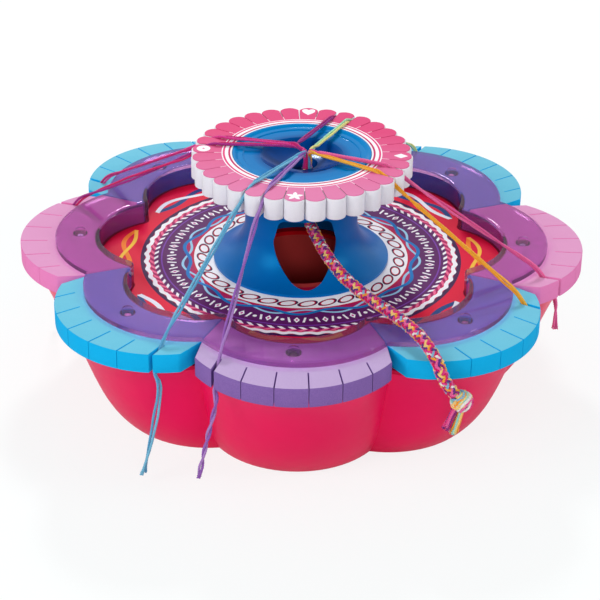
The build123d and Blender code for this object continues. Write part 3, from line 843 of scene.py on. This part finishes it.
def thread_controls(name):
    """A pair's control points, the slit's direction in the disc and in the foam, all in millimetres.

    Beside each bend stand points that keep the taut stretches straight.
    """
    petal, slit = THREADS[name][:2]
    on_disc = disc_slit_angle(slit)
    on_foam = FRONT + petal * LOBE_STEP + threaded_slit(petal)
    order = list(THREADS).index(name)
    eye = np.array(polar(EYE_RADIUS, order * 360 / len(THREADS), EYE_HEIGHT)) + (*EYE_MIDDLE, 0)
    # The pairs lie over one another where they meet
    layer = PAIR_LAYER * (order % 3)
    meetings = [(x, y, THREAD_HEIGHT + layer) for x, y in MEETINGS[name]]
    mouth = (np.array(meetings[0]) + eye) / 2
    bend, leaves, turns = swept((THREAD_BEND, THREAD_LEAVES, THREAD_TURNS), on_disc)
    over_ring, into_slit, under = swept((THREAD_OVER_RING, THREAD_INTO_SLIT, THREAD_UNDER_FOAM), on_foam)
    points = [tuple(eye), (mouth[0], mouth[1], EYE_MOUTH), *meetings]
    points += [toward(meetings[-1], bend, MEETING_HOLD), toward(bend, meetings[-1], BEND_HOLD), bend]
    points += [leaves, turns, toward(turns, over_ring, TURN_HOLD), toward(over_ring, turns, RING_HOLD)]
    points += [over_ring, into_slit, under, *(polar(*place) for place in TAILS[name])]
    return points, on_disc, on_foam


def strand_lines(line, along, radii, seed):
    """Two lines beside a pair's own: side by side, in line with the slits inside them, apart at the tail."""
    angle = np.unwrap(np.arctan2(line[:, 1], line[:, 0]))
    across = np.stack([-np.sin(angle), np.cos(angle), np.zeros(len(line))], 1)
    ahead = directions(line)
    above = np.cross(ahead, across)
    above /= np.linalg.norm(above, axis=1)[:, None]
    stations, turns, spread = radii
    turn = np.interp(along, stations, turns)
    gap = np.interp(along, stations, spread) * STRAND_SPREAD + 0.1 * np.sin(along * 0.35 + seed)
    return (round_about(line, (across, above), turn + half, gap) for half in (0, 0.5))


# The colours of each pair's two strands; the painted shade in their hollows takes its brightness from
# THREAD_HOLLOWS
PAIR_COLORS = {
    "violet": ((178, 134, 206), (154, 100, 190)),
    "orange": ((250, 168, 40), (248, 184, 62)),
    "pink": ((244, 110, 170), (226, 84, 150)),
    "mint": ((176, 232, 196), (240, 238, 150)),
    "cerise": ((176, 36, 128), (150, 36, 140)),
    "magenta": ((228, 66, 156), (206, 30, 122)),
    "plum": ((172, 44, 140), (214, 30, 110)),
    "blue": ((122, 196, 228), (96, 174, 216)),
}


# How bright the painted shade in the threads' hollows is, as a share of their colour
THREAD_HOLLOWS = 0.68
# The places where a pair's strands change how they lie, as (radius, height), on the disc and on the foam, and
# how far apart they lie at the eye and at each
DISC_PLACES = ((9.0, THREAD_HEIGHT), (41.0, THREAD_HEIGHT), (46.0, 117.8), (56.0, 112.0), (66.0, 106.0))
FOAM_PLACES = ((110.0, 80.0), (122.6, 71.0), (131.0, 59.0))
PLACE_SPREAD = (0.75, 0.95, 1.05, 0.8, 0.8, 0.95, 1.1, 0.85, 0.9)


def nearest(line, point):
    return int(np.argmin(np.linalg.norm(line - np.array(point), axis=1)))


def make_threads():
    fray = random.Random(7)
    for order, (name, thread) in enumerate(THREADS.items()):
        end_spread, end_turns = thread[2:]
        controls, on_disc, on_foam = thread_controls(name)
        line, along = evenly(smooth_line(controls), 0.6)
        places = swept(DISC_PLACES, on_disc) + swept(FOAM_PLACES, on_foam)
        stations = [0, *(along[nearest(line, place)] for place in places), along[-1]]
        # The strands lie side by side over the dish and the ring, and one above the other in the slits
        flat = 0.5 + 0.5 * fray.choice((0, 1))
        upright = flat + 0.25
        turns = [-1.0, 0.0, 0.0, 0.25, 0.25, 0.5, flat, upright, upright, upright + end_turns]
        radii = (stations, turns, [*PLACE_SPREAD, end_spread])
        loose = PLY_OFFSET * (1 + 1.3 * np.clip(1 - (along[-1] - along) / FRAY_LENGTH, 0, 1))
        for side, strand in enumerate(strand_lines(line, along, radii, order)):
            bundle = Bundle(f"thread_{name}_{'ab'[side]}")
            bundle.twisted(strand, 3, PLY_RADIUS, loose, along / PLY_PITCH)
            piece = bundle.piece([floss(bundle.name, PAIR_COLORS[name][side], THREAD_HOLLOWS)])
            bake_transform(piece)
            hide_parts(f"thread_{name}_disc", f"thread_{name}_foam")


# ---- braid


BRAID_COLORS = {
    "magenta": (226, 24, 118),
    "orange": (252, 166, 58),
    "pink": (242, 104, 168),
    "plum": (150, 40, 128),
    "crimson": (222, 30, 96),
    "cream": (252, 214, 130),
    "purple": (104, 52, 140),
    "rose": (236, 62, 142),
    "sky": (136, 190, 222),
    "mint": (160, 222, 206),
    "white": (244, 238, 236),
}
# The colours of each pair of floss in the braid, those that wind one way and those that wind the other
BRAID_PAIRS = (
    (("magenta", "orange"), ("rose", "cream"), ("purple", "pink"), ("crimson", "sky")),
    (("orange", "plum"), ("pink", "magenta"), ("cream", "purple"), ("rose", "white")),
)


# How bright the painted shade in the braid's hollows is, as a share of its colours
BRAID_HOLLOWS = 0.62
# The braid's strands: half their thickness, how far they go in and out, and the turn between a pair's two
BRAID_STRAND = 0.78
BRAID_WAVE = 0.5
BRAID_TWIN = 0.092


def floss_slot(color):
    return list(BRAID_COLORS).index(color)


def braid_materials():
    return [floss(f"braid_{name}", color, BRAID_HOLLOWS) for name, color in BRAID_COLORS.items()]


def braid_piece(bundle, materials, node):
    piece = bundle.piece(materials)
    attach(piece, "top")
    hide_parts(node)
    return piece


def swung(first, second, turn):
    """The direction at an angle in radians from the first of two, towards the second."""
    return first * math.cos(turn) + second * math.sin(turn)


def make_braid(materials):
    """Eight pairs of floss, four winding each way, each over one and under one."""
    line, along = evenly(smooth_line(BRAID_ROUTE), 0.5)
    about = carried_sides(line, (1, 0, 0))
    middle = BRAID_DIAMETER / 2 - BRAID_STRAND - BRAID_WAVE
    uneven = random.Random(11)
    bundle = Bundle("braid_weave")
    for way, pairs in zip((1, -1), BRAID_PAIRS):
        for i, colors in enumerate(pairs):
            lift = way * BRAID_WAVE * np.cos(BRAID_WAYS * TURN * along / BRAID_PITCH)
            for side, color in zip((-1, 1), colors):
                slack = 0.1 * np.sin(along * uneven.uniform(0.5, 0.9) + uneven.uniform(0, TURN))
                sway = 0.012 * np.sin(along * uneven.uniform(0.3, 0.6) + uneven.uniform(0, TURN))
                turn = i / BRAID_WAYS + way * along / BRAID_PITCH + side * BRAID_TWIN / 2 + sway
                strand = round_about(line, about, turn, middle + lift + slack)
                bundle.twisted(strand, 2, 0.5, 0.3, run_along(strand) / 2.6, floss_slot(color), taper=0.6)
    return braid_piece(bundle, materials, "braid"), line


# The knot's bands of strands, from the braid's side: where along the knot, how tilted and towards what, in
# degrees, and their colours
KNOT_BANDS = (
    (-2.6, 14, 20, ("mint", "sky", "mint", "white", "cream")),
    (0.4, -30, 60, ("cream", "orange", "cream", "white", "pink")),
    (2.2, 34, 100, ("white", "rose", "magenta", "pink", "plum")),
)


# Half the thickness of the knot's strands, and how far apart those of a band lie
KNOT_STRAND = 0.75
KNOT_STEP = 1.15
# The knot's core: strands in a ring, their distance from its middle, their radius and half their length
KNOT_CORE = ("rose", "cream", "magenta") * 4
CORE_DISTANCE = 2.6
CORE_RADIUS = 1.0
CORE_HALF = 3.6


def make_knot(materials, end, ahead):
    """A tight ball of strands: bands that wrap about a round core at different tilts."""
    centre = end + ahead * KNOT_FACE
    right = unit(np.cross((0.0, 1.0, 0.0), ahead))
    deep = np.cross(ahead, right)
    bundle = Bundle("braid_knot_wraps")
    reach_out = KNOT_RADIUS - KNOT_STRAND
    share = np.linspace(0, 1, 65)
    for middle, tilt, toward_side, colors in KNOT_BANDS:
        lean = swung(right, deep, math.radians(toward_side))
        axis = swung(ahead, lean, math.radians(tilt))
        flat = unit(np.cross(axis, (0.11, 0.93, 0.2)))
        cross = np.cross(axis, flat)
        for i, color in enumerate(colors):
            along = middle + (i - (len(colors) - 1) / 2) * KNOT_STEP
            along = max(-reach_out + 0.2, min(reach_out - 0.2, along))
            wide = math.sqrt(reach_out**2 - along**2)
            wide = wide * (1 - 0.05 * (1 + np.sin(TURN * share * 2 + i + tilt)))
            hub = np.tile(centre + axis * along, (len(share), 1))
            wrap = round_about(hub, (flat, cross), share, wide)
            bundle.twisted(wrap, 3, 0.42, 0.32, run_along(wrap) / 3.0, floss_slot(color))
    reach_along = np.linspace(-1, 1, 21)[:, None] * CORE_HALF * ahead
    for i, color in enumerate(KNOT_CORE):
        offset = CORE_DISTANCE * swung(right, deep, TURN * i / len(KNOT_CORE))
        bundle.strand(centre + offset + reach_along, CORE_RADIUS, 6, floss_slot(color))
    return braid_piece(bundle, materials, "braid_knot")


# The tassel's two bunches, as the side each leans to and its strands' colours
BUNCHES = (
    (-1, ("magenta", "plum", "pink", "rose", "purple", "pink", "magenta", "rose")),
    (1, ("orange", "cream", "mint", "orange", "sky", "cream", "orange", "mint")),
)


def make_tassel(materials, end, ahead):
    """The strands' free ends under the knot, in two bunches, splayed and frayed."""
    down = np.array(Vector(TASSEL_DIRECTION).normalized())
    top = end + ahead * KNOT_FACE + down * (KNOT_FACE - 1.6)
    right = np.array((1.0, 0.0, 0.0))
    right = unit(right - down * right.dot(down))
    deep = np.cross(down, right)
    fray = random.Random(3)
    bundle = Bundle("braid_tassel_ends")
    share = np.linspace(0, 1, 26)[:, None]
    loose = 0.3 + 0.45 * np.clip((share[:, 0] - 0.78) / 0.22, 0, 1)
    for lean, colors in BUNCHES:
        for i, color in enumerate(colors):
            turn = TURN * (i + 0.5) / len(colors)
            start = right * (lean * 1.3 + 0.9 * math.cos(turn)) + deep * math.sin(turn) * 1.3
            finish = right * (lean * 2.1 + 1.1 * math.cos(turn)) + deep * (1.5 * math.sin(turn))
            long = (TASSEL_LENGTH + 0.8) * fray.uniform(0.8, 1.0) * (0.94 if lean < 0 else 1.0)
            wobble = 0.25 * np.sin(share * fray.uniform(4, 8) + fray.uniform(0, 6))
            core = top + start * (1 - share) + finish * share + down * share * long + right * wobble * share
            turns = share[:, 0] * long / 3.6
            bundle.twisted(core, 3, 0.36, loose, turns, floss_slot(color), taper=1.0, side=right)
    return braid_piece(bundle, materials, "braid_tassel")


def make_braid_and_ends():
    materials = braid_materials()
    braid, line = make_braid(materials)
    end = np.array(BRAID_ROUTE[-1])
    ahead = unit(end - np.array(BRAID_ROUTE[-2]))
    knot = make_knot(materials, end, ahead)
    tassel = make_tassel(materials, end, ahead)


# ---- CAD pieces that stay


# The colour of the light that each plastic's skin throws back
PINK_SHINE = (1.0, 0.16, 0.3, 1.0)
BLUE_SHINE = (0.02, 0.6, 1.0, 1.0)


# Plain plastics, by their node: name, colour, deeper colour, roughness, specular level and shine
PLASTICS = {
    "base_tub": ("tub_raspberry", (238, 12, 90), (220, 8, 78), 0.3, 0.35, PINK_SHINE),
    "deck_plate": ("deck_raspberry", (206, 18, 66), (184, 12, 54), 0.42, 0.2, PINK_SHINE),
    "dome": ("dome_blue", (0, 104, 180), (0, 82, 160), 0.3, 0.45, BLUE_SHINE),
    "spindle": ("spindle_blue", (20, 60, 130), (14, 44, 104), 0.4, 0.2, BLUE_SHINE),
}


def give(node, material):
    """A CAD node's own object takes a material."""
    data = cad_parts[node].data
    data.materials.clear()
    data.materials.append(material)


def dress_frame():
    for node, look in PLASTICS.items():
        give(node, moulded(*look).material)
    give("well_cup", cup_plastic())
    give("disc_dish", dish_plastic())
    give("clear_ring", clear_plastic())
    give("ring_screws", brushed_steel("screw_steel"))
    give("spindle_clip", brushed_steel("clip_steel"))
    give("disc_face", face_print())
    give("printed_card", card_print())


def circle_fields(finish):
    """The distance from the axis in millimetres, and the direction in turns."""
    x, y = finish.axes()[:2]
    return (x * x + y * y).math("SQRT"), y.math("ARCTAN2", x) * (1 / TURN)


def cup_plastic():
    """The well cup: its rim painted bright on the far side only, as a painted pool of light, so that the near
    side keeps the deeper colour as painted shade.
    """
    finish = moulded("cup_raspberry", (222, 72, 70), (206, 62, 62), 0.6, 0.05, PINK_SHINE)
    y, z = finish.axes()[1:]
    # Painted light: the top of the rim, on the far side only, in a brighter red; the near side stays deeper
    # as painted shade
    finish.over((z > node_top("well_cup") - PAINTED_RIM_LIGHT_DEPTH) & (y > 0), rgb(232, 16, 30))
    return finish.material


def dish_plastic():
    """The dish: its own blue on the ledge, and painted shade that deepens the blue towards the bowl's middle.
    """
    finish = moulded("dish_blue", (0, 134, 202), (0, 112, 188), 0.13, 0.06, BLUE_SHINE)
    radius = circle_fields(finish)[0]
    # Painted shade: the blue deepens inward from the ledge, and more in the bowl
    finish.over(radius.ramp(33, 26) * 0.3, rgb(0, 84, 164)).over(radius.ramp(25, 19) * 0.9, rgb(0, 52, 132))
    return finish.material


FACE_WHITE = rgb(248, 244, 250)
# The bands of the disc's print next to the dish, as outer radius and colour, and the circle of its signs
FACE_BANDS = (
    (39.8, FACE_WHITE),
    (39.2, rgb(226, 60, 124)),
    (38.2, FACE_WHITE),
    (36.5, rgb(196, 30, 96)),
    (35.5, FACE_WHITE),
)
SIGN_CIRCLE = 49.0
# Half the width of the lines between the printed petals, in petals
PETAL_LINE = 0.015


def face_print():
    """The film on the disc: pink petals in white lines, four signs, round bands next to the dish, and a
    painted glare that lightens the pink towards the front.
    """
    finish = Finish("face_print", rgb(220, 66, 122), 0.5, Specular_IOR_Level=0.04)
    x, y = finish.axes()[:2]
    radius, direction = circle_fields(finish)
    petal = (direction - (FRONT + DISC_TURN) / 360).repeat(DISC_PETALS)
    # Lighter pink towards the front: a painted highlight that stands in for the lamps' glare on the film
    finish.over(y.ramp(25, -45), rgb(222, 122, 170))
    finish.over(petal.abs() < PETAL_LINE, FACE_WHITE)
    for quarter, sign in enumerate((star, diamond, heart, ring_and_dot)):
        turn = math.radians(FRONT + DISC_TURN + quarter * 90)
        out = x * math.cos(turn) + y * math.sin(turn) - SIGN_CIRCLE
        side = y * math.cos(turn) - x * math.sin(turn)
        finish.over(sign(side, out), FACE_WHITE)
    for outer, color in FACE_BANDS:
        finish.over(radius < outer, color)
    finish.bump(finish.noise(0.8, 2), 0.02, 0.3)
    return finish.material


def star(side, out):
    """Five points, 4.2 mm long, with hollows 1.7 mm from the middle."""
    point = (out.math("ARCTAN2", side) * (5 / TURN) + 0.25).math("FRACT") - 0.5
    return (side * side + out * out).math("SQRT") < point.abs() * 5.0 + 1.7


def diamond(side, out):
    return side.abs() / 2.6 + out.abs() / 3.6 < 1


def heart(side, out):
    height = out / 3.2 - (side.abs() / 3.4).power(0.5) * 0.8 + 0.25
    return (side / 3.4).power(2.0) + height.power(2.0) < 1


def ring_and_dot(side, out):
    return (side * side + out * out).math("SQRT").within(0.6, 3.4)


# The card's rows, as radii of their middles or edges, and how often a row repeats round the card
CORD_ROW = 89.6
EDGE_BAND = (79.2, 81.5)
SCALLOP_ROW = 78.1
SCALLOPS = 60
ROPE_ROW = (74.6, 76.8)
ROPE_PLIES = 90
TICK_INNER = 72.6
RULE = (70.5, 71.2)
BEAD_ROW = 65.8
BEADS = 30
WAVE_OUTER = 61.2
WAVE_ROW = 58.3
WAVES = 11
INNER_BAND = (54.4, 55.5)
CHAIN_ROW = 50.0
LINKS = 32
CARD_WHITE = rgb(250, 248, 252)
CARD_PURPLE = rgb(92, 26, 96)


def card_cords(finish, radius, direction):
    """Twisted cords in the lobes: yellow and orange in the diagonal ones, blue and white in the others."""
    for start, first, second, width in (
        (0.5, rgb(255, 206, 70), rgb(250, 140, 40), 2.0),
        (0.0, rgb(240, 244, 250), rgb(30, 70, 130), 2.6),
    ):
        lobe = direction.repeat(4, start)
        swing = lobe.wave(3) * 2.6
        inside = lobe.abs() < 0.17
        finish.over((radius + swing).near(CORD_ROW, width * 1.2) & inside, second)
        finish.over((radius - swing).near(CORD_ROW, width) & inside, first)


def card_rope(finish, radius, direction):
    """Scallops, a rope and slanted ticks, and a thin rule inside them."""
    finish.over(radius < EDGE_BAND[1], rgb(64, 22, 74))
    finish.over(radius < EDGE_BAND[0], rgb(214, 30, 84))
    finish.over(radius.near(direction.wave(SCALLOPS) * 0.55 + SCALLOP_ROW, 2.4), CARD_WHITE)
    rope = radius.within(*ROPE_ROW)
    ply = (direction.repeat(ROPE_PLIES) + radius * 0.3).math("FRACT")
    finish.over(rope, rgb(170, 24, 96))
    finish.over(rope & (ply < 0.5), rgb(240, 106, 150))
    finish.over(radius < ROPE_ROW[0], CARD_PURPLE)
    tick = (direction.repeat(ROPE_PLIES) - radius * 0.22).math("FRACT")
    finish.over(radius.within(TICK_INNER, ROPE_ROW[0]) & tick.within(0.2, 0.65), CARD_WHITE)
    finish.over(radius < RULE[1], rgb(126, 62, 172))
    finish.over(radius < RULE[0], CARD_PURPLE)


def card_beads(finish, radius, direction):
    """A row of beads, with bars and dots between them."""
    bead = direction.repeat(BEADS)
    height = radius - BEAD_ROW
    lozenge = bead.abs() * 9.0 + height.abs() / 2.6
    finish.over(lozenge < 1, CARD_WHITE)
    finish.over(lozenge < 0.45, rgb(200, 60, 150))
    bar = (bead.abs() - 0.27 + height * 0.016).abs() < 0.04
    finish.over(bar & (height.abs() < 2.3), CARD_WHITE)
    dot = (bead.abs() - 0.5).abs() * 14.0
    finish.over(dot * dot + height * height < 1.1, CARD_WHITE)


def card_waves(finish, radius, direction):
    """Two bands that wave about each other, and a narrow band inside them."""
    first = direction.wave(WAVES) * 2.1 + WAVE_ROW
    second = direction.wave(WAVES, 0.36) * 2.2 + (WAVE_ROW + 0.1)
    finish.over((radius < WAVE_OUTER) & (radius < first), rgb(176, 22, 92))
    finish.over(radius.near(second, 1.3), rgb(156, 206, 236))
    finish.over(radius.near(first, 1.9), rgb(14, 116, 190))
    finish.over(radius < INNER_BAND[1], rgb(196, 20, 70))
    finish.over(radius < INNER_BAND[0], CARD_WHITE)


def card_chain(finish, radius, direction):
    """A chain round the dome: dark loops with a crimson line in them."""
    across = radius - CHAIN_ROW
    link = (direction * LINKS + across * 0.07).math("FRACT") - 0.5
    loop = link * link * 4.4 + across * across / 9.6
    finish.over(loop < 1.0, rgb(64, 18, 62))
    finish.over(loop < 0.6, rgb(224, 24, 66))
    finish.over(loop < 0.44, CARD_WHITE)


def card_print():
    """The card: cords in its lobes, and ring bands of scallops, rope, ticks, beads, waves and chain."""
    finish = Finish("card_print", rgb(228, 16, 60), 0.5, Specular_IOR_Level=0.06)
    radius, direction = circle_fields(finish)
    for row in (card_cords, card_rope, card_beads, card_waves, card_chain):
        row(finish, radius, direction)
    return finish.material


make_camera()
make_world()
for lamp, settings in LAMPS.items():
    area_light(lamp, *settings)
make_floor()
make_threads()
make_braid_and_ends()
make_foam_petals()
make_foam_disc()
dress_frame()

bpy.context.scene.view_settings.view_transform = "Standard"
